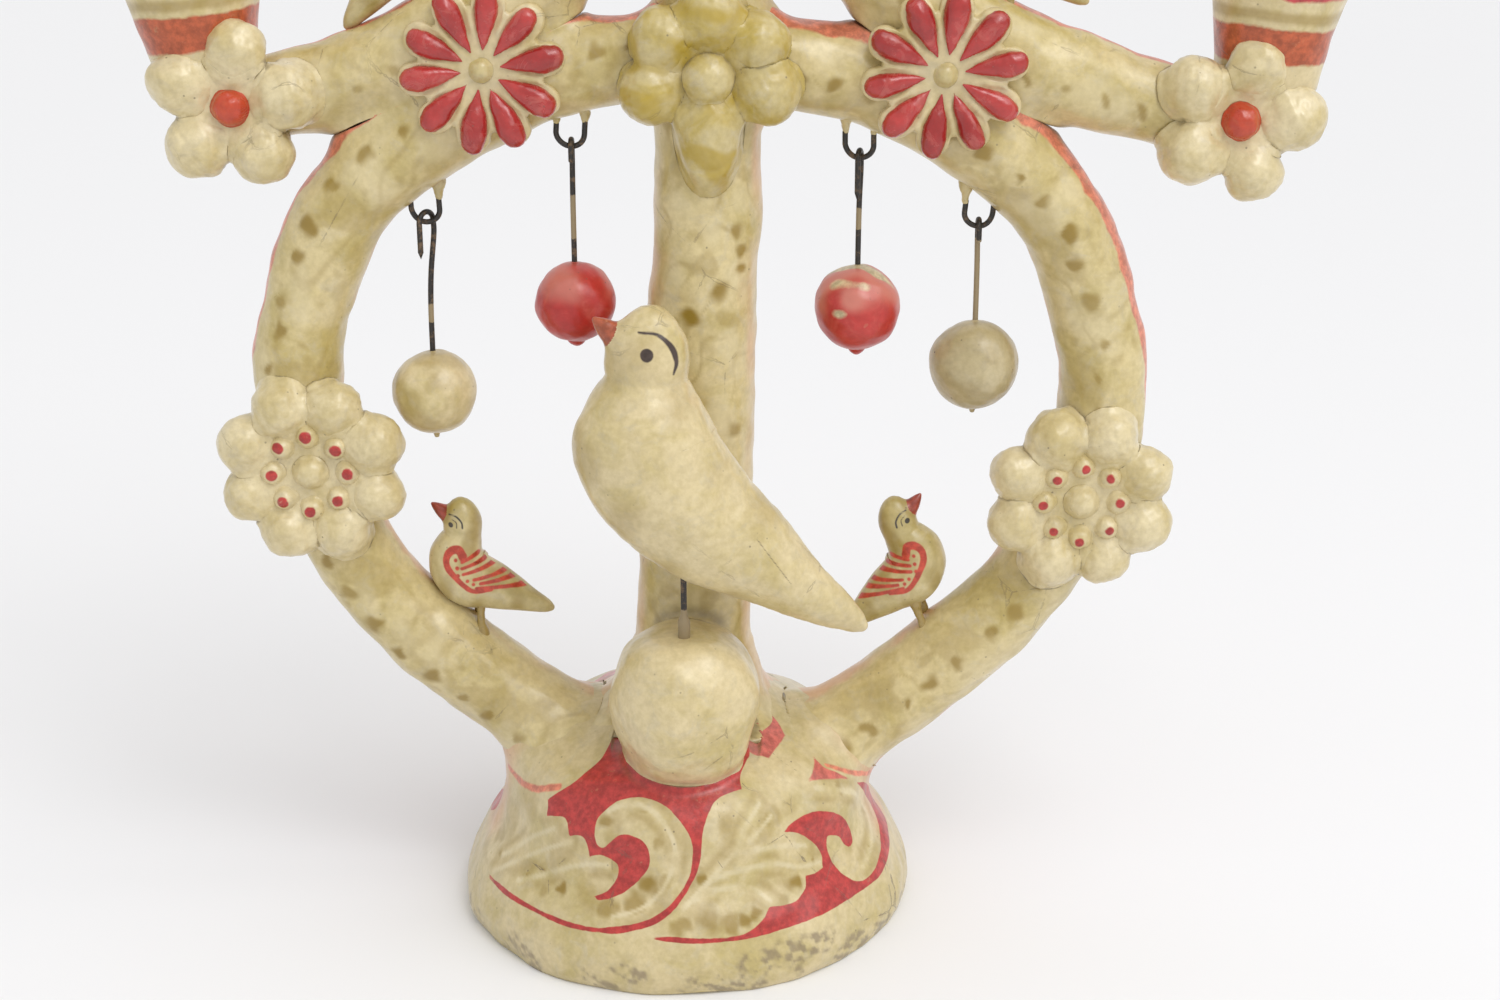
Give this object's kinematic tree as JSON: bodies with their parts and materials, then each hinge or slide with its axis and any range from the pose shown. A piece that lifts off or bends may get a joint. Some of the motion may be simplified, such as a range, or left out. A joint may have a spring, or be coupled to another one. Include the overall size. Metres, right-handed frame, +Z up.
{
  "type": "clay tree of life",
  "caption": "Painted clay tree of life: a heart of branches on a bell foot, with candle cups, flowers, birds and clay balls that hang from wire hooks.",
  "frame": {"origin": "on the table, under the middle of the whole width; the bell's own axis is 19 mm to the left of it", "axes": "+Z up, +X to the right as seen from the front, the front faces -Y"},
  "size_m": [0.435, 0.172, 0.4829],
  "materials": {
    "painted_bell": "satin",
    "scrolled_clay": "satin",
    "cream_clay": "satin",
    "painted_bird": "satin",
    "banded_cup": "satin",
    "olive_clay": "satin",
    "crimson_glaze": "satin",
    "orange_button": "satin",
    "red_painted_clay": "satin",
    "iron_wire": "satin"
  },
  "bodies": {
    "tree": {"base": "painted_bell", "trunk": "scrolled_clay", "bud": "cream_clay", "heart_branch_left": "scrolled_clay", "heart_branch_right": "scrolled_clay", "arm_left": "scrolled_clay", "arm_right": "scrolled_clay", "candle_cup_left": "banded_cup", "candle_cup_right": "banded_cup", "candle_cup_top": "banded_cup", "centre_flower_petals": "olive_clay", "centre_flower_button": "olive_clay", "daisy_left_pad": "cream_clay", "daisy_left_petals": "crimson_glaze", "daisy_left_button": "olive_clay", "daisy_right_pad": "cream_clay", "daisy_right_petals": "crimson_glaze", "daisy_right_button": "olive_clay", "rosette_left_petals": "cream_clay", "rosette_left_knobs": "cream_clay", "rosette_left_boss": "cream_clay", "rosette_right_petals": "cream_clay", "rosette_right_knobs": "cream_clay", "rosette_right_boss": "cream_clay", "cup_flower_left_petals": "cream_clay", "cup_flower_left_button": "orange_button", "cup_flower_right_petals": "cream_clay", "cup_flower_right_button": "orange_button", "cup_flower_top_petals": "cream_clay", "cup_flower_top_button": "orange_button", "dove": "cream_clay", "dove_wire": "iron_wire", "lower_bird_left": "painted_bird", "lower_bird_left_legs": "cream_clay", "lower_bird_right": "painted_bird", "lower_bird_right_legs": "cream_clay", "upper_bird_left": "painted_bird", "upper_bird_left_legs": "cream_clay", "upper_bird_right": "painted_bird", "upper_bird_right_legs": "cream_clay", "eye_1": "iron_wire", "eye_2": "iron_wire", "eye_3": "iron_wire", "eye_4": "iron_wire"},
    "hanging_ball_1": {"hook_1": "iron_wire", "ball_1_bead": "cream_clay"},
    "hanging_ball_2": {"hook_2": "iron_wire", "ball_2_bead": "red_painted_clay"},
    "hanging_ball_3": {"hook_3": "iron_wire", "ball_3_bead": "red_painted_clay"},
    "hanging_ball_4": {"hook_4": "iron_wire", "ball_4_bead": "cream_clay"}
  },
  "joints": [
    {"name": "ball_1_swing", "type": "hinge", "parent": "tree", "child": "hanging_ball_1", "pos_m": [-0.10889, 0, 0.26376], "axis": [1, 0, 0], "range_deg": [-40, 40]},
    {"name": "ball_2_swing", "type": "hinge", "parent": "tree", "child": "hanging_ball_2", "pos_m": [-0.05671, 0, 0.29073], "axis": [1, 0, 0], "range_deg": [-20, 75]},
    {"name": "ball_3_swing", "type": "hinge", "parent": "tree", "child": "hanging_ball_3", "pos_m": [0.04435, 0, 0.28667], "axis": [1, 0, 0], "range_deg": [-75, 75]},
    {"name": "ball_4_swing", "type": "hinge", "parent": "tree", "child": "hanging_ball_4", "pos_m": [0.08701, 0, 0.26223], "axis": [1, 0, 0], "range_deg": [-75, 75]}
  ]
}
